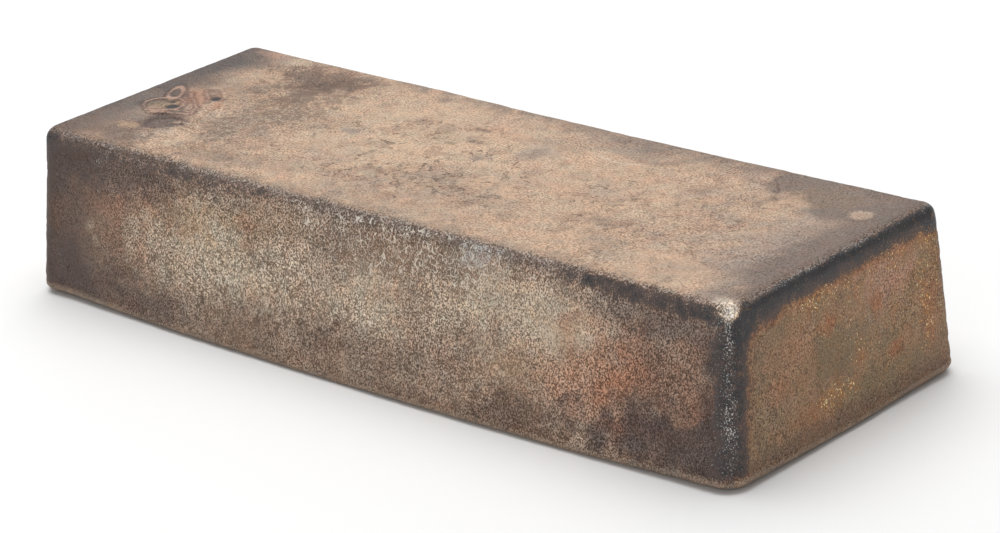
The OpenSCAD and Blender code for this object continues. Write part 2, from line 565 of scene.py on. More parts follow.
# %% Blots
BLOTS = [
    # the top: dark left end, its broken margin, and pale islands in it
    ("top", (-177, 0), (28, 95), 0, "gloom", 1.00, 0.6, 0.26),
    ("top", (-146, 28), (34, 34), 0, "plum", 0.30, 0.9, 0.80),
    ("top", (-148, -34), (24, 24), 0, "plum", 0.80, 0.9, 0.70),
    ("top", (-113, 41), (18, 13), 10, "umber", 0.82, 0.7, 0.80),
    ("top", (-104, 24), (10, 13), 0, "umber", 0.25, 0.9, 1.10),
    ("top", (-150, 11), (9, 7), 0, "umber", 0.50, 0.7, 0.60),
    ("top", (-131, 13), (8, 8), 0, "umber", 0.40, 0.7, 0.70),
    ("top", (-133, 29), (13, 7), 0, "sand", 0.60, 0.7, 0.60),
    ("top", (-156, 34), (12, 16), 0, "gloom", 0.45, 1.0, 0.60),
    ("top", (-151, 51), (9, 3), 0, "rose", 0.40, 0.8, 0.60),
    ("top", (-135, 50), (5.5, 3.5), 0, "bone", 0.60, 0.6, 0.40),
    ("top", (-106, 51), (3.5, 2.5), 0, "rose", 0.55, 0.6, 0.50),
    ("top", (-90, 18), (12, 9), 0, "bone", 0.60, 0.7, 0.50),
    ("top", (-100, -5), (30, 22), 0, "drab", 0.35, 0.9, 0.90),
    ("top", (-118, -40), (9, 13), 0, "stone", 0.45, 0.5, 0.30),
    ("top", (-150, -50), (28, 11), 0, "umber", 0.60, 0.9, 0.80),
    ("top", (-142, -38), (5, 3), 0, "straw", 0.40, 0.9, 0.80),
    ("top", (-92, -46), (16, 7), 0, "umber", 0.35, 0.8, 0.90),
    # the top: the light middle
    ("top", (-35, 6), (52, 30), 0, "bone", 0.40, 1.3, 0.50),
    ("top", (14, 18), (6, 8), 0, "smoke", 0.42, 0.9, 0.70),
    ("top", (47, 41), (14, 7), 0, "drab", 0.75, 0.6, 0.50),
    ("top", (18, 34), (16, 7), 20, "drab", 0.40, 0.8, 0.70),
    ("top", (83, -19), (11, 5), 10, "umber", 0.42, 0.9, 0.90),
    ("top", (90, -6), (14, 6), 0, "bone", 0.45, 1.0, 0.80),
    ("top", (8, -26), (30, 13), 0, "drab", 0.40, 0.9, 0.90),
    ("top", (-62, -40), (26, 6), 8, "drab", 0.40, 0.9, 0.60),
    ("top", (10, -46), (40, 5), 0, "drab", 0.35, 0.8, 0.70),
    ("top", (97, -38), (10, 7), 0, "drab", 0.45, 0.9, 0.70),
    ("top", (-18, 29), (3.5, 1.4), 0, "umber", 0.80, 0.6, 0.90),
    ("top", (-12, 18), (4, 2.2), 0, "plum", 0.60, 0.6, 0.60),
    ("top", (-43, 24), (4, 2.6), 0, "umber", 0.50, 0.7, 1.20),
    ("top", (-46, 15), (3, 2), 0, "drab", 0.60, 0.7, 1.20),
    ("top", (-28, 16), (12, 7), 0, "moss", 0.16, 0.9, 0.60),
    ("top", (-29, 20), (1.6, 1.1), 0, "moss", 0.80, 0.6, 0.50),
    ("top", (-28, 13), (1.6, 1.1), 0, "moss", 0.80, 0.6, 0.50),
    ("top", (-19, 12), (1.8, 1.0), 0, "moss", 0.80, 0.6, 0.50),
    ("top", (-62, 2), (4, 2.4), 0, "smoke", 0.60, 0.8, 0.60),
    ("top", (0, 5), (4, 2), 30, "smoke", 0.60, 0.8, 0.60),
    # the top: its borders, and the dark back corner of the right end
    ("top", (0, -62), (175, 10), 0, "drab", 0.80, 0.7, 0.40),
    ("top", (50, 61), (150, 13), 0, "plum", 0.68, 1.0, 0.60),
    ("top", (82, 55), (60, 14), 0, "plum", 0.36, 1.0, 0.60),
    ("top", (150, 0), (20, 44), 0, "smoke", 0.58, 1.0, 0.60),
    ("top", (174, 0), (24, 95), 0, "plum", 0.95, 0.8, 0.25),
    ("top", (145, 50), (38, 24), 0, "plum", 0.84, 0.35, 0.30),
    ("top", (132, 40), (14, 10), 0, "moss", 0.22, 1.0, 0.60),
    ("top", (154.5, 32.5), (4.6, 4.0), 0, "stone", 0.55, 0.4, 0.20),
    # the front: dark left end, warm and pale middle, copper to the right
    ("front", (-176, 33), (42, 90), 0, "dusk", 0.95, 0.9, 0.25),
    ("front", (-170, 48), (24, 26), 0, "gloom", 0.90, 1.2, 0.35),
    ("front", (-130, 41), (34, 22), 0, "umber", 0.66, 1.0, 0.60),
    ("front", (-108, 38), (28, 16), 0, "copper", 0.22, 1.0, 0.60),
    ("front", (-72, 47), (24, 8), 0, "moss", 0.32, 0.9, 0.60),
    ("front", (-82, 44), (22, 9), 0, "straw", 0.26, 0.9, 0.60),
    ("front", (-42, 53), (26, 6), 0, "moss", 0.30, 1.0, 0.50),
    ("front", (-75, 60), (60, 5), 0, "drab", 0.35, 1.2, 0.60),
    ("front", (-100, 62), (48, 6), 0, "dusk", 0.32, 1.2, 0.60),
    ("front", (-72, 33), (40, 13), 0, "chalk", 0.65, 1.0, 0.70),
    ("front", (-57, 50), (4, 3.5), 0, "rust", 0.36, 0.9, 0.90),
    ("front", (4, 31), (18, 12), 0, "chalk", 0.50, 1.0, 0.60),
    ("front", (43, 40), (15, 8), 0, "chalk", 0.45, 0.9, 0.60),
    ("front", (12, 54), (38, 9), 0, "umber", 0.28, 0.9, 0.60),
    ("front", (-35, 12), (50, 8), 0, "umber", 0.35, 1.0, 0.60),
    ("front", (2, 17), (20, 7), 0, "umber", 0.40, 1.0, 0.70),
    ("front", (-20, 13), (150, 11), 0, "umber", 0.20, 1.2, 0.60),
    ("front", (60, 18), (22, 7), 0, "umber", 0.20, 1.0, 0.80),
    ("front", (-138, 58), (40, 9), 0, "dusk", 0.70, 1.2, 0.70),
    ("front", (-140, 8), (60, 9), 0, "dusk", 0.60, 1.0, 0.60),
    ("front", (82, 46), (30, 11), 0, "chalk", 0.45, 0.7, 0.50),
    ("front", (58, 31), (12, 7), 0, "stone", 0.40, 0.9, 0.90),
    ("front", (75, 24), (13, 8), 20, "straw", 0.22, 0.9, 0.90),
    ("front", (52, 31), (7, 6), 0, "umber", 0.30, 0.9, 1.00),
    ("front", (107, 26), (17, 13), 0, "copper", 0.32, 1.2, 0.80),
    ("front", (113, 22), (24, 12), 0, "rust", 0.20, 1.2, 0.80),
    ("front", (128, 33), (12, 6), 20, "rust", 0.22, 1.0, 0.90),
    ("front", (104, 48), (14, 8), 0, "stone", 0.40, 1.0, 0.80),
    ("front", (140, 34), (28, 16), 0, "rust", 0.52, 1.4, 0.90),
    ("front", (150, 40), (22, 24), 0, "umber", 0.60, 1.0, 0.70),
    ("front", (138, 57), (34, 8), 0, "plum", 0.72, 1.2, 0.70),
    ("front", (75, 9), (24, 7), 0, "umber", 0.75, 0.9, 0.60),
    ("front", (149, 12), (34, 13), 0, "dusk", 0.85, 1.0, 0.60),
    ("front", (0, 2), (180, 6), 0, "umber", 0.45, 0.9, 0.30),
    ("front", (172, 33), (13, 90), 0, "dusk", 0.90, 0.9, 0.30),
    # the back: the same finish, laid out in its own way
    ("back", (168, 33), (40, 80), 0, "dusk", 0.85, 0.9, 0.30),
    ("back", (-170, 33), (26, 80), 0, "dusk", 0.85, 0.9, 0.30),
    ("back", (60, 34), (50, 16), 0, "chalk", 0.50, 1.0, 0.60),
    ("back", (-60, 42), (34, 12), 0, "chalk", 0.55, 0.9, 0.50),
    ("back", (-110, 28), (28, 18), 0, "copper", 0.55, 1.0, 0.50),
    ("back", (10, 52), (40, 8), 0, "umber", 0.50, 0.9, 0.60),
    ("back", (0, 5), (180, 9), 0, "umber", 0.60, 1.0, 0.40),
    # the right end: gold on olive, rust, and a dark head
    ("right", (2, 43), (24, 7), 0, "copper", 0.12, 1.0, 0.70),
    ("right", (25, 49), (16, 8), 0, "rose", 0.62, 0.9, 0.60),
    ("right", (-28, 38), (12, 10), 0, "copper", 0.24, 1.0, 0.60),
    ("right", (12, 37), (14, 7), 0, "drab", 0.28, 1.0, 0.60),
    ("right", (47, 12), (9, 9), 0, "umber", 0.35, 1.0, 0.60),
    ("right", (-5, 24), (8, 5), 0, "umber", 0.30, 1.0, 0.70),
    ("right", (20, 41), (3, 4), 0, "rust", 0.55, 1.2, 0.80),
    ("right", (-8, 42), (4, 3), 0, "rust", 0.65, 1.2, 0.80),
    ("right", (29, 21), (4, 3), 0, "rust", 0.75, 1.2, 0.80),
    ("right", (49, 30), (4, 12), 0, "rust", 0.40, 0.9, 0.80),
    ("right", (8, 27), (3, 6), 0, "rust", 0.40, 1.2, 0.80),
    ("right", (-22, 13), (9, 5), 0, "rust", 0.35, 1.2, 0.80),
    ("right", (-3, 32), (15, 8), 0, "moss", 0.75, 1.0, 0.50),
    ("right", (22, 12), (26, 7), 0, "moss", 0.60, 0.9, 0.40),
    ("right", (-38, 28), (5, 4.6), 0, "copper", 0.45, 0.4, 0.20),
    ("right", (-45, 34), (14, 20), 0, "umber", 0.20, 0.9, 0.40),
    # the left end: a duller sister of the right one
    ("left", (-10, 38), (30, 14), 0, "copper", 0.40, 1.0, 0.60),
    ("left", (25, 24), (24, 14), 0, "moss", 0.60, 1.0, 0.50),
    ("left", (0, 60), (80, 12), 0, "plum", 0.50, 0.7, 0.30),
    ("left", (0, 3), (80, 8), 0, "umber", 0.60, 0.9, 0.40),
]
for number, (face, centre, radii, turn, name, strength, soft, fray) in enumerate(BLOTS):
    lay(name, strength * blot(face, centre, radii, turn, soft, fray, 60 + number))
print("blots laid:", len(BLOTS))

# %% Warmer and darker bands along the head and foot of the ends
slump = 3.0 * ramp(y, -25, -55) * FACE_WEIGHT["right"]
head = z + slump + 1.6 * rough(points, 12.0, 150)
lay("rust", 0.34 * bell(head - 56.0, 1.7) * ENDS)
lay("umber", 0.60 * ramp(z + 1.2 * noise(points, 14.0, 151), 13.0, 8.0) * ENDS)

# %% The scars lie in a reddened field
lay("rose", 0.45 * blot("top", (-140, -2), (10, 6), -35, 0.9, 0.6, 150))
lay("rust", 0.25 * blot("top", (-141, -2), (9, 5), -35, 0.7, 0.6, 151))
lay("copper", 0.45 * blot("top", (-126, -5), (4.5, 2.2), -50, 0.9, 0.6, 152))
lay("stone", 0.45 * blot("top", (-121, -12), (7, 6), 0, 0.7, 0.4, 153))
lay("moss", 0.55 * blot("top", (-147, -13), (6, 6), 0, 0.9, 0.5, 154))
lay("plum", 0.95 * puddle)
lay("dusk", 0.55 * puddle * ramp(rough(points, 5.0, 158), -0.2, 0.5))
lay("bone", 0.9 * blot("top", (-126.3, -25.5), (1.8, 1.3), 0, 0.6, 0.3, 159))
rim_band = ramp(above_rim, 0.8, -0.4) * ramp(nz, -0.75, -0.4)
lay("drab", 0.80 * rim_band)
lay("stone", 0.30 * rim_band * ramp(rough(points, 10.0, 157), -0.2, 0.5))
lay("smoke", 0.65 * top_edge)

# %% The knocked tip, where the front, the right end and the top meet
TIP_R, TIP_STRETCH, TIP_SINK = 4.4, (1.6, 1, 1.4), 2.0
tip_half_length, tip_half_width = half_sizes(HEIGHT)
NEAR_CORNER = np.array([tip_half_length, -tip_half_width, HEIGHT]) - np.array([1, -1, 1]) * TIP_SINK
tip_reach = np.linalg.norm((points - NEAR_CORNER) / TIP_STRETCH, axis=1) / TIP_R
tip = bell(np.maximum(tip_reach + 0.3 * rough(points, 3.6, 190), 0), 1.0)
lay("bright", tip)
print("bright tip: points more than half covered:", np.count_nonzero(tip > 0.5))

# %% [markdown]
# ## How the grain is shared out
#
# The material below can lay eight kinds of fine grain: dark fine pits, coarse pits, black film,
# bare silver, gold sparks that are partly painted glints, rings left by drops, bright threads, and
# lumps in place of dust. Here each point of the skin gets a share of each kind, from 0 for none to
# 1 for all over. So the places are decided here, and the grain itself is drawn later at its own
# small scale.

# %% Shares of the grain
grain_share = {
    "pits": 0.28 * FACE_WEIGHT["top"] + 0.48 * LONG_SIDES + 0.20 * ENDS,
    "coarse": 0.14 * FACE_WEIGHT["top"] + 0.20 * LONG_SIDES + 0.06 * ENDS,
    "soot": np.zeros(len(points)),
    "bare": 0.06 * FACE_WEIGHT["front"],
    "gilt_and_glints": np.zeros(len(points)),
    "rings": np.zeros(len(points)),
    "threads": np.zeros(len(points)),
    "lumpy": 0.90 * FACE_WEIGHT["top"] + (0.12 + 0.35 * sponge) * WALL,
}
grain_share["pits"] += 0.12 * rough(points, 18.0, 71) * WALL + 0.08 * rough(points, 16.0, 72)
grain_share["coarse"] += 0.10 * rough(points, 24.0, 73) * WALL + 0.16 * sponge


def add_share(name, amount):
    """Adds an amount, one number a point, to the share of one kind of grain."""
    grain_share[name] = grain_share[name] + amount


SHARE_BLOTS = [
    ("top", (-98, -10), (28, 44), 0, "pits", 0.24, 1.0, 0.60),
    ("top", (-102, -4), (26, 40), 0, "coarse", 0.34, 1.2, 0.80),
    ("top", (-112, 34), (22, 14), 0, "coarse", 0.34, 1.2, 0.80),
    ("top", (-5, -22), (36, 14), 0, "coarse", 0.20, 1.2, 0.80),
    ("top", (105, -10), (22, 24), 0, "coarse", 0.16, 1.2, 0.80),
    ("top", (-110, 38), (24, 14), 0, "pits", 0.20, 1.0, 0.60),
    ("top", (105, -10), (28, 26), 0, "pits", 0.12, 1.0, 0.60),
    ("top", (75, 40), (30, 10), 0, "pits", 0.12, 1.0, 0.60),
    ("top", (-94, 4), (20, 20), 0, "coarse", 0.10, 1.2, 0.80),
    ("top", (0, -18), (60, 26), 0, "rings", 1.00, 1.2, 0.40),
    ("top", (-25, 14), (44, 22), 0, "rings", 0.85, 1.0, 0.40),
    ("top", (105, 0), (44, 44), 0, "rings", 0.65, 1.0, 0.40),
    ("front", (82, 46), (28, 11), 0, "pits", -0.26, 0.6, 0.40),
    ("front", (82, 46), (28, 11), 0, "coarse", -0.20, 0.6, 0.40),
    ("front", (78, 51), (4, 1.6), 5, "coarse", 0.45, 0.9, 0.60),
    ("front", (87, 48), (3, 2), 0, "coarse", 0.40, 0.9, 0.60),
    ("front", (-164, 35), (34, 60), 0, "pits", -0.30, 1.0, 0.40),
    ("front", (24, 57), (44, 9), 0, "threads", 1.00, 1.2, 0.60),
    ("front", (24, 57), (46, 9), 0, "pits", 0.22, 1.2, 0.80),
    ("front", (57, 61), (10, 6), 0, "pits", 0.25, 1.2, 0.80),
    ("front", (57, 62), (8, 5), 0, "bare", 0.42, 1.2, 0.80),
    ("front", (90, 62), (22, 4), 0, "bare", 0.12, 0.9, 0.60),
    ("front", (-130, 52), (14, 8), 0, "bare", 0.14, 0.9, 0.60),
    ("front", (-80, 61), (50, 4), 0, "bare", 0.10, 1.2, 0.60),
    ("front", (165, 30), (8, 40), 0, "bare", 0.13, 0.9, 0.60),
    ("right", (-57, 28), (6, 36), 0, "bare", 0.09, 0.9, 0.60),
    # The gold sparks placed here are partly flecks of gold film and partly painted glints.
    ("right", (-12, 53), (14, 3), 0, "gilt_and_glints", 0.15, 1.2, 0.90),
    ("right", (31, 53), (5, 3), 0, "gilt_and_glints", 0.26, 1.2, 0.90),
    ("right", (47, 34), (4, 16), 0, "gilt_and_glints", 0.17, 1.2, 0.90),
    ("right", (50, 54), (4, 4), 0, "gilt_and_glints", 0.16, 1.2, 0.90),
    ("right", (-8, 17), (10, 4), 0, "gilt_and_glints", 0.22, 1.2, 0.90),
    ("right", (8, 27), (3, 5), 0, "gilt_and_glints", 0.14, 1.2, 0.90),
    ("right", (5, 44), (16, 8), 0, "gilt_and_glints", 0.05, 1.2, 0.90),
    ("right", (20, 32), (34, 22), 0, "gilt_and_glints", 0.03, 1.2, 0.90),
]
for number, (face, centre, radii, turn, name, strength, soft, fray) in enumerate(SHARE_BLOTS):
    add_share(name, strength * blot(face, centre, radii, turn, soft, fray, 160 + number))
add_share("gilt_and_glints", 0.015 * FACE_WEIGHT["right"] + 0.01 * FACE_WEIGHT["left"])

# %% Black film, in bands along the edges
depth = HEIGHT - z + 1.3 * rough(points, 11.0, 56)
long_band = ramp(depth, 11.0, 3.0) * ramp(depth, 0.5, 2.5) * (0.75 + 0.6 * rough(points, 50.0, 57))
end_depth = (depth - slump) * (1 + 0.12 * ramp(y, -10, 40) * FACE_WEIGHT["right"])
BAND_DEPTH = (0, 1.5, 4, 7, 9, 11, 13)
BAND_SOOT = (0.5, 0.98, 0.94, 0.72, 0.50, 0.20, 0)
end_band = np.interp(end_depth, BAND_DEPTH, BAND_SOOT)
add_share("soot", 0.33 * long_band * LONG_SIDES + end_band * ENDS)
add_share("soot", 0.20 * blot("front", (-105, 61), (56, 7), 0, 1.4, 0.8, 180))
add_share("soot", 0.45 * blot("front", (140, 63), (40, 5), 0, 0.6, 0.3, 181))
add_share("soot", 0.20 * blot("front", (-170, 50), (18, 20), 0, 1.4, 0.4, 182))
from_corner = np.maximum(half_sizes(z)[0] - np.abs(x), half_sizes(z)[1] - np.abs(y))
corner_band = ramp(from_corner + 2.0 * rough(points, 9.0, 58), 15.0, 4.0) * WALL * ramp(z, 2, 8)
corner_band *= 1 - 0.55 * ramp(x, 0, -60) * ramp(y, 0, -30)
add_share("soot", 0.78 * corner_band * (1 - 0.6 * FACE_WEIGHT["right"] * ramp(y, 0, 30)))
crease_soot = 0.3 * bell(above_rim - 1.5, 1.5) * WALL
add_share("soot", crease_soot * ramp(rough(points, 16.0, 55), -0.3, 0.4))
grain_share["soot"] *= (1 - tip) * ramp(above_rim, -1.0, 0.6)

# %% Bare metal, where the edges are rubbed
crest = top_edge * ramp(z, HEIGHT - 3.5, HEIGHT - 1.0)
end_crest = crest * ramp(nx, 0.15, 0.5) * ramp(nx, 0.98, 0.8)
right_head_band = ramp(depth, 7, 2) * FACE_WEIGHT["right"]
add_share("bare", crest * (0.05 + 0.20 * noise(points, 26.0, 59)))
add_share("bare", corner_edge * ramp(z, 4, 10) * (0.11 + 0.12 * noise(points, 18.0, 189)))
add_share("bare", 0.14 * tip + 0.20 * end_crest)
add_share("bare", 0.10 * right_head_band * ramp(rough(points, 20.0, 188), -0.3, 0.4))

# %% Grit: how strongly the grain shows, less where the skin is smooth
smooth = blot("front", (-166, 35), (36, 60), 0, 1.0, 0.4, 183)
smooth += blot("back", (166, 35), (36, 60), 0, 1.0, 0.4, 184)
smooth += 0.7 * blot("front", (84, 46), (26, 9), 0, 0.8, 0.6, 185)
smooth += 0.5 * blot("top", (-38, 0), (26, 40), 0, 1.2, 0.8, 186)
grit = 0.42 * FACE_WEIGHT["top"] + 0.82 * LONG_SIDES + 0.52 * ENDS + 0.2 * sponge + 0.4 * crest
grit *= (1 - 0.5 * smooth) * (1 - 0.6 * rim_band)
grit = np.clip(grit * (1 + 0.55 * rough(points, 24.0, 187)), 0, 1)
for name, values in grain_share.items():
    print("share of", name + ":", "mean", values.mean().round(3), "most", values.max().round(2))

# %% [markdown]
# ## The mesh
#
# The arrays go into one mesh with `from_pydata` and `foreach_set`. The paint rides along as point
# attributes, because an attribute stays with the surface wherever the piece goes and can be read by
# any material. The bottom lid's last ring closes on a line, so its doubled points are merged.

# %% Make the mesh
mesh = bpy.data.meshes.new("ingot_skin")
mesh.from_pydata((skin * MM).tolist(), [], faces.tolist())
opaque_paint = np.column_stack([paint, np.ones(len(paint))]).astype(np.float32)
colour = mesh.attributes.new("tone", "FLOAT_COLOR", "POINT")
colour.data.foreach_set("color", opaque_paint.ravel())
marks = {"rim_gap": rim_gap, "hole_gap": hole_gap, "crack_gap": crack_gap, "pale_scratch_and_glint_gap": pale_scratch_and_glint_gap}
for name, values in marks.items():
    layer = mesh.attributes.new(name, "FLOAT", "POINT")
    layer.data.foreach_set("value", np.clip(values, -3, 9).astype(np.float32))
for name, values in (("grit", grit), *grain_share.items()):
    layer = mesh.attributes.new(name, "FLOAT", "POINT")
    layer.data.foreach_set("value", np.clip(values, 0, 1).astype(np.float32))

shell = bmesh.new()
shell.from_mesh(mesh)
bmesh.ops.remove_doubles(shell, verts=shell.verts, dist=1e-6)
bmesh.ops.dissolve_degenerate(shell, edges=shell.edges, dist=1e-7)
bmesh.ops.recalc_face_normals(shell, faces=shell.faces)
open_edges = sum(1 for e in shell.edges if not e.is_manifold)
volume = shell.calc_volume(signed=True)
shell.to_mesh(mesh)
shell.free()
mesh.shade_smooth()
ingot = bpy.data.objects.new("ingot_skin", mesh)
bpy.context.scene.collection.objects.link(ingot)
triangles = sum(len(p.vertices) - 2 for p in mesh.polygons)
print("triangles:", triangles, "open edges:", open_edges, "volume cm3:", round(volume * 1e6, 1))

# %% [markdown]
# ## The finish
#
# The paint holds what is bigger than a couple of millimetres. The material adds the rest from
# noise on object coordinates: the skin is a crust of fine grains, dark in its pits and lighter on
# its heads, partly as painted relief shading, with specks of bright metal. One height field drives
# both the colour and the bump, so that dark and deep agree.

# %% Helpers for building the material
material = bpy.data.materials.new("toned_silver")
material.use_nodes = True
nodes, links = material.node_tree.nodes, material.node_tree.links
nodes.clear()


def node(kind, **settings):
    """Adds a shader node of the given kind and sets its properties."""
    made = nodes.new(kind)
    for key, value in settings.items():
        setattr(made, key, value)
    return made


def feed(socket, source):
    """Puts a number or colour on a socket, or links another node's output to it."""
    if isinstance(source, bpy.types.NodeSocket):
        links.new(source, socket)
    else:
        socket.default_value = source


def math_node(operation, a, b=0.0):
    """One step of arithmetic on one or two numbers or fields."""
    made = node("ShaderNodeMath", operation=operation)
    feed(made.inputs[0], a)
    feed(made.inputs[1], b)
    return made.outputs[0]


def times(a, b):
    """The product of two numbers or fields."""
    return math_node("MULTIPLY", a, b)


def plus(a, b):
    """The sum of two numbers or fields."""
    return math_node("ADD", a, b)


def minus(a, b):
    """The difference of two numbers or fields."""
    return math_node("SUBTRACT", a, b)


def most(a, b):
    """The larger of two numbers or fields."""
    return math_node("MAXIMUM", a, b)


def size_of(a):
    """A field without its sign."""
    return math_node("ABSOLUTE", a)


def weighted(first, second, first_weight):
    """The weighted mean of two fields."""
    return plus(times(first, first_weight), times(second, 1 - first_weight))


def remap(value, low, high, to_low=0.0, to_high=1.0, smooth=True):
    """A value's way from low to high, turned into the way from to_low to to_high.

    It goes by a smooth step or in a straight line, and stops at both ends.
    """
    made = node("ShaderNodeMapRange", interpolation_type="SMOOTHSTEP" if smooth else "LINEAR")
    for socket, source in zip(made.inputs, (value, low, high, to_low, to_high)):
        feed(socket, source)
    return made.outputs[0]


def mix_colour(blend, factor, a, b):
    """Two colours blended in the named way, as far as the factor says."""
    made = node("ShaderNodeMix", data_type="RGBA", blend_type=blend)
    feed(made.inputs["Factor"], factor)
    feed(made.inputs[6], a)
    feed(made.inputs[7], b)
    return made.outputs[2]


def multiplied(factor, a, b):
    """Colour a multiplied by colour b, as far as the factor says."""
    return mix_colour("MULTIPLY", factor, a, b)


def mixed(factor, a, b):
    """Colour a replaced by colour b, as far as the factor says."""
    return mix_colour("MIX", factor, a, b)


def attribute(name, output):
    """What the mesh carries under that name, as a colour or as a number."""
    return node("ShaderNodeAttribute", attribute_name=name).outputs[output]


place = node("ShaderNodeTexCoord").outputs["Object"]


def grain(size_mm, detail=2.0, roughness=0.5, stretch=(1, 1, 1), distortion=0.0):
    """Noise whose lumps are about size_mm across, in object space."""
    mapping = node("ShaderNodeMapping")
    feed(mapping.inputs["Vector"], place)
    feed(mapping.inputs["Scale"], stretch)
    made = node("ShaderNodeTexNoise")
    feed(made.inputs["Vector"], mapping.outputs[0])
    feed(made.inputs["Scale"], 1 / (size_mm * MM))
    feed(made.inputs["Detail"], detail)
    feed(made.inputs["Roughness"], roughness)
    feed(made.inputs["Distortion"], distortion)
    return made.outputs[0]


def cover(field, share, spread=0.17, edge=0.03):
    """1 on about that share of the skin: where the field stands over a level the share sets."""
    level = remap(share, 0.0, 1.0, 0.5 + spread, 0.5 - spread, smooth=False)
    over = remap(field, minus(level, edge), plus(level, edge))
    return times(over, remap(share, 0.0, 0.06, smooth=False))


# %% Grains, from coarse to fine
# On the walls every grain is drawn out a little downwards, the way the metal ran down the mould.
RUN = (1, 1, 0.78)
tone_in = attribute("tone", "Color")
share_in = {name: attribute(name, "Fac") for name in ("grit", *grain_share)}
lumps = grain(2.1, 2.0, 0.6, RUN, 0.4)
grains = grain(0.80, 3.0, 0.7, RUN)
dust = grain(0.56, 2.0, 0.65, RUN)
lumpiness = times(remap(grain(13.0, 2.0), 0.40, 0.60, 0.45, 1.0), share_in["lumpy"])
fine_mix = node("ShaderNodeMix", data_type="FLOAT")
feed(fine_mix.inputs["Factor"], lumpiness)
feed(fine_mix.inputs["A"], dust)
feed(fine_mix.inputs["B"], grains)
fine_field = fine_mix.outputs["Result"]
coarse_field = weighted(lumps, grains, 0.62)
coarse_mask = times(cover(coarse_field, share_in["coarse"], edge=0.07), 0.8)
pit_mask = times(cover(fine_field, share_in["pits"]), 0.62)
dark_mask = most(coarse_mask, pit_mask)

# %% [markdown]
# ### The crust
#
# Close to, the skin isn't one colour. Its heads are lighter and cooler than its hollows, faint
# streaks run down the walls, and the hue drifts over a few millimetres. The lighter heads and
# darker hollows are partly the crust's own tone and partly painted relief shading: light on the
# heads and shade in the hollows, laid in the colour. All of it multiplies the paint, so that a
# tone changed in the table above changes everywhere.

# %% Colour of the crust: dark pits, light heads with painted relief shading, and a drift of hue
WARM, COOL = (1.04, 0.99, 0.95, 1), (0.96, 0.99, 1.00, 1)
RED_STREAK, GREY_STREAK = (1.02, 0.98, 0.95, 1), (0.96, 0.99, 1.00, 1)
HEAD_HUE, HOLLOW_HUE = (0.94, 1.0, 1.10, 1), (1.05, 0.97, 0.90, 1)
PIT_TINT = (0.42, 0.37, 0.35, 1)
# The lift on the heads and the drop in the hollows are partly the crust's own tone and partly painted
# relief shading.
HEAD_LIFT_WITH_PAINTED_LIGHT, HOLLOW_DROP_WITH_PAINTED_SHADE = 1.02, -0.72
drift = remap(grain(8.0, 3.0, 0.6), 0.38, 0.62)
drifted = mixed(drift, multiplied(1.0, tone_in, COOL), multiplied(1.0, tone_in, WARM))
streak = remap(grain(1.6, 3.0, 0.6, (1, 1, 0.3)), 0.36, 0.64, 0.0, 1.0, False)
reddened = multiplied(1.0, drifted, RED_STREAK)
greyed = multiplied(1.0, drifted, GREY_STREAK)
streaked = mixed(streak, greyed, reddened)
grain_hue = mixed(remap(fine_field, 0.40, 0.60), HEAD_HUE, HOLLOW_HUE)
hued = multiplied(share_in["grit"], streaked, grain_hue)
# Painted relief shading, together with the crust's tone: the heads lightened and the hollows darkened
# in the colour.
tone_and_shade_swing = times(remap(fine_field, 0.38, 0.62, HEAD_LIFT_WITH_PAINTED_LIGHT, HOLLOW_DROP_WITH_PAINTED_SHADE), share_in["grit"])
shaded = multiplied(1.0, hued, plus(1.0, tone_and_shade_swing))
crusted = mixed(dark_mask, shaded, multiplied(1.0, drifted, PIT_TINT))

# %% [markdown]
# ### Rings and lines
#
# Drops of water dried on the top and left broken rings a few millimetres across. A ring is the
# place where a noise crosses one level, so it closes on itself and never repeats. The scars,
# cracks, scratches and three painted glints are drawn from the distances that the relief used, and
# the grain frays them.

# %% Rings left by drops, on the top
RING_LEVEL = 0.57
DROP_STAIN = (0.80, 0.76, 0.76, 1)
drops = grain(7.0, 2.0, 0.5, distortion=0.6)
loop = remap(size_of(minus(drops, RING_LEVEL)), 0.030, 0.010)
broken = remap(weighted(lumps, grain(3.4, 1.0), 0.5), 0.44, 0.54)
ring_mask = times(times(loop, broken), share_in["rings"])
drop_mask = times(remap(drops, RING_LEVEL, 0.66), share_in["rings"])
stained = multiplied(drop_mask, crusted, DROP_STAIN)
ringed = multiplied(ring_mask, stained, PIT_TINT)

# %% Crisp lines, from the fields of distances, and a painted shadow beside the scars' rims
CRACK_TINT, RIM_PAINTED_SHADOW = (0.52, 0.46, 0.43, 1), (0.62, 0.56, 0.56, 1)
RIM_COPPER, SCRATCH_AND_GLINT_PALE = (0.47, 0.30, 0.22, 1), (0.58, 0.48, 0.38, 1)
HOLE_DARK = (0.055, 0.050, 0.055, 1)
unsteady = remap(fine_field, 0.3, 0.7, -0.45, 0.45, False)


def line(name, out, into):
    """1 where the distance, made unsteady by the grain, is below `into`, and 0 above `out`."""
    return remap(plus(attribute(name, "Fac"), unsteady), out, into)


cracked = multiplied(line("crack_gap", 0.8, 0.2), ringed, CRACK_TINT)
# The wider darker band beside each raised scar rim is painted shadow.
shaded_rims = multiplied(line("rim_gap", 2.3, 1.4), cracked, RIM_PAINTED_SHADOW)
rimmed = mixed(times(line("rim_gap", 0.8, 0.2), 0.85), shaded_rims, RIM_COPPER)
# The pale marks are real scratches, and on the top three of them are painted glints.
paled = mixed(times(line("pale_scratch_and_glint_gap", 1.0, 0.3), 0.7), rimmed, SCRATCH_AND_GLINT_PALE)
holed = mixed(line("hole_gap", 0.35, -0.35), paled, HOLE_DARK)

# %% [markdown]
# ### Black film
#
# The film is thickest along the edges, and its margin is ragged because it grows grain by grain.
# So its thickness is the share laid above plus a swing from the grain, and three bounds on that
# one number give copper, then purple, then blue-black.

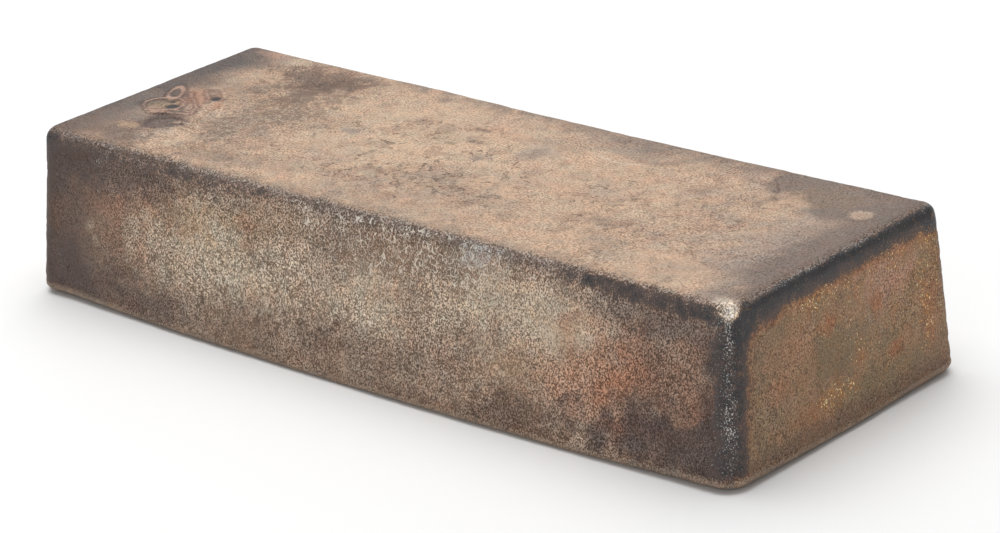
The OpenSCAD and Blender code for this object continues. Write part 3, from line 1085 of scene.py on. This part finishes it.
# %% Film: as it thickens it goes from copper through purple to blue-black
COPPER_FILM = (0.84, 0.73, 0.64, 1)
PURPLE_FILM = (0.098, 0.073, 0.065, 1)
BLACK_FILM = (0.036, 0.036, 0.040, 1)
film_grain = weighted(fine_field, grain(3.5, 2.0, 0.5), 0.62)
film_swing = remap(share_in["grit"], 0.3, 0.8, 0.6, 1.35, False)
film_noise = times(remap(film_grain, 0.3, 0.7, -0.34, 0.34, False), film_swing)
film = plus(share_in["soot"], film_noise)
coppered = multiplied(remap(film, 0.10, 0.36), holed, COPPER_FILM)
purpled = mixed(remap(film, 0.30, 0.55, 0.0, 0.92), coppered, PURPLE_FILM)
blackened = mixed(remap(film, 0.58, 0.90, 0.0, 0.92), purpled, BLACK_FILM)

# %% [markdown]
# ### Bare metal
#
# Where the bar was handled the tarnish is gone from the highest grains: pale flecks on the edges,
# bright threads under the front's upper edge, and sparks of straw-gold film on the right end, made
# bright in their colour as painted glints. A fleck is the part of a fine noise that stands over a
# level, and the share moves the level.

# %% Bare metal: gold sparks that are partly painted glints, rubbed silver and bright threads
DEEP_GOLD, PALE_GOLD_AND_GLINT = (0.78, 0.40, 0.12, 1), (0.95, 0.80, 0.46, 1)
GOLD_HALO = (0.36, 0.17, 0.06, 1)
RUBBED_SILVER, THREAD_SILVER = (0.62, 0.60, 0.57, 1), (0.82, 0.74, 0.63, 1)
spark_and_glint_colour = mixed(remap(grain(2.2, 1.0), 0.4, 0.6), DEEP_GOLD, PALE_GOLD_AND_GLINT)
halo = cover(grain(1.8, 2.0), times(share_in["gilt_and_glints"], 2.5), 0.2, 0.06)
haloed = mixed(times(halo, 0.55), blackened, GOLD_HALO)
# The sparks are partly flecks of gold film and partly painted glints, bright points laid in the colour.
gold_sparks_and_glints = cover(grain(0.6, 1.0, 0.5, RUN), share_in["gilt_and_glints"], 0.24, 0.02)
gilded_with_glints = mixed(gold_sparks_and_glints, haloed, spark_and_glint_colour)
flecks = cover(weighted(grain(0.48, 2.0, 0.6, RUN), dust, 0.6), share_in["bare"], edge=0.03)
rubbed = times(flecks, remap(share_in["bare"], 0.10, 0.40, 0.38, 0.95))
thread_line = size_of(minus(grain(2.6, 1.0, 0.5, (1, 1, 0.7), 0.5), 0.5))
thread_cover = cover(grain(3.2, 1.0), share_in["threads"], edge=0.06)
threads = times(remap(thread_line, 0.034, 0.012), thread_cover)
silvered = most(rubbed, times(threads, 0.85))
metal_colour = mixed(threads, RUBBED_SILVER, THREAD_SILVER)
finished = mixed(silvered, gilded_with_glints, metal_colour)

# %% [markdown]
# ### Gloss and bump
#
# Tarnished metal is still part metal, so the crust keeps some of the metal's reflection, and the
# flecks and sparks have all of it. Black film is a little glossier than the crust. The bump reads
# the same fields as the colour, and its depth follows the grit, so smooth places stay smooth.

# %% Gloss and bump
CRUST_METALLIC, CRUST_DULL, BARE_DULL = 0.40, 0.60, 0.32
FILM_GLOSS = 0.16
LEAST_BUMP, MOST_BUMP = 0.05 * MM, 1.1 * MM
shine = most(silvered, gold_sparks_and_glints)
metallic = remap(shine, 0.0, 1.0, CRUST_METALLIC, 1.0, False)
dull = remap(shine, 0.0, 1.0, CRUST_DULL, BARE_DULL, False)
roughness = minus(dull, remap(film, 0.5, 0.9, 0.0, FILM_GLOSS))
hollows = plus(coarse_field, times(fine_field, 0.7))
height = minus(1.0, plus(hollows, times(coarse_mask, 0.18)))
raised = plus(height, times(threads, 0.15))
bump = node("ShaderNodeBump")
feed(bump.inputs["Strength"], 1.0)
feed(bump.inputs["Distance"], remap(share_in["grit"], 0.0, 1.0, LEAST_BUMP, MOST_BUMP, False))
feed(bump.inputs["Height"], raised)

# %% Join the finish to the piece
skin_shader = node("ShaderNodeBsdfPrincipled")
feed(skin_shader.inputs["Base Color"], finished)
feed(skin_shader.inputs["Metallic"], metallic)
feed(skin_shader.inputs["Roughness"], roughness)
feed(skin_shader.inputs["Normal"], bump.outputs[0])
output = node("ShaderNodeOutputMaterial")
links.new(skin_shader.outputs[0], output.inputs["Surface"])
mesh.materials.append(material)
print("finish:", len(nodes), "nodes and", len(links), "links")

# %% [markdown]
# ## Ties to the frame
#
# The skin stands in for the solid of the same name. It rides on the root body, because nothing on
# the bar moves, and it says which entry of the record's list of materials its finish belongs to.

# %% Tie the piece to the frame
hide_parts("ingot")
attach(ingot, "root")

# %% [markdown]
# ## The studio
#
# A pale floor under one big soft lamp overhead, a weaker one behind to draw a sheen across the
# top, another low in front to fill the walls, and an even sky. The walls are lit mostly by that
# lamp and by what the floor throws back, so they stay darker than the top.

# %% Floor
FLOOR_HALF = 6.0
FLOOR_TONE = (0.86, 0.86, 0.86, 1)
FLOOR_ROUGHNESS = 0.9
floor_mesh = bpy.data.meshes.new("floor")
floor_mesh.from_pydata(
    [(sx * FLOOR_HALF, sy * FLOOR_HALF, 0) for sx, sy in ((-1, -1), (1, -1), (1, 1), (-1, 1))],
    [],
    [(0, 1, 2, 3)],
)
floor = bpy.data.objects.new("floor", floor_mesh)
bpy.context.scene.collection.objects.link(floor)
floor_paint = bpy.data.materials.new("floor_paint")
floor_paint.use_nodes = True
floor_shader = floor_paint.node_tree.nodes["Principled BSDF"]
floor_shader.inputs["Base Color"].default_value = FLOOR_TONE
floor_shader.inputs["Roughness"].default_value = FLOOR_ROUGHNESS
floor_mesh.materials.append(floor_paint)


# %% Lamps and sky
AIM = Vector((0, 0, 0.030))
SKY_STRENGTH = 0.36


def soft_lamp(name, place_m, size_m, watts):
    """A square area lamp that faces the bar."""
    lamp = bpy.data.lights.new(name, "AREA")
    lamp.shape = "SQUARE"
    lamp.size = size_m
    lamp.energy = watts
    made = bpy.data.objects.new(name, lamp)
    made.location = place_m
    made.rotation_euler = (Vector(place_m) - AIM).to_track_quat("Z", "Y").to_euler()
    bpy.context.scene.collection.objects.link(made)


soft_lamp("overhead", (-0.3, 0.2, 1.9), 2.2, 40)
soft_lamp("behind", (-1.3, 1.5, 0.9), 1.4, 7)
soft_lamp("fill", (0.9, -1.9, 0.8), 1.4, 9)
world = bpy.data.worlds.new("sky")
bpy.context.scene.world = world
world.use_nodes = True
sky = world.node_tree.nodes["Background"]
sky.inputs["Color"].default_value = (1, 1, 1, 1)
sky.inputs["Strength"].default_value = SKY_STRENGTH
bpy.context.scene.view_settings.view_transform = "Standard"

# %% [markdown]
# ## The camera
#
# A long lens from a little above, looking at the corner between the front and the right end, and
# tipped a few degrees on its side. It is placed by angles, so any of them can be changed alone.

# %% Camera
AZIMUTH, ELEVATION, ROLL = (math.radians(v) for v in (43.15, 21.64, -4.11))
DISTANCE = 1.436
PAN = (0.0094, -0.0051)
FOCAL, SENSOR_WIDTH = 139.95, 36.0
NEAR_CLIP = 0.05

back = Vector(
    (
        math.sin(AZIMUTH) * math.cos(ELEVATION),
        -math.cos(AZIMUTH) * math.cos(ELEVATION),
        math.sin(ELEVATION),
    )
)
level = Vector((0, 0, 1)).cross(back).normalized()
upright = back.cross(level)
right = level * math.cos(ROLL) + upright * math.sin(ROLL)
up = upright * math.cos(ROLL) - level * math.sin(ROLL)
lens = bpy.data.cameras.new("camera")
lens.lens = FOCAL
lens.sensor_width = SENSOR_WIDTH
lens.clip_start = NEAR_CLIP
camera = bpy.data.objects.new("camera", lens)
turned = Matrix((right, up, back)).transposed().to_4x4()
stand = AIM + back * DISTANCE + right * PAN[0] + up * PAN[1]
camera.matrix_world = Matrix.Translation(stand) @ turned
bpy.context.scene.collection.objects.link(camera)
bpy.context.scene.camera = camera
print("camera stands at, m:", [round(value, 3) for value in stand])
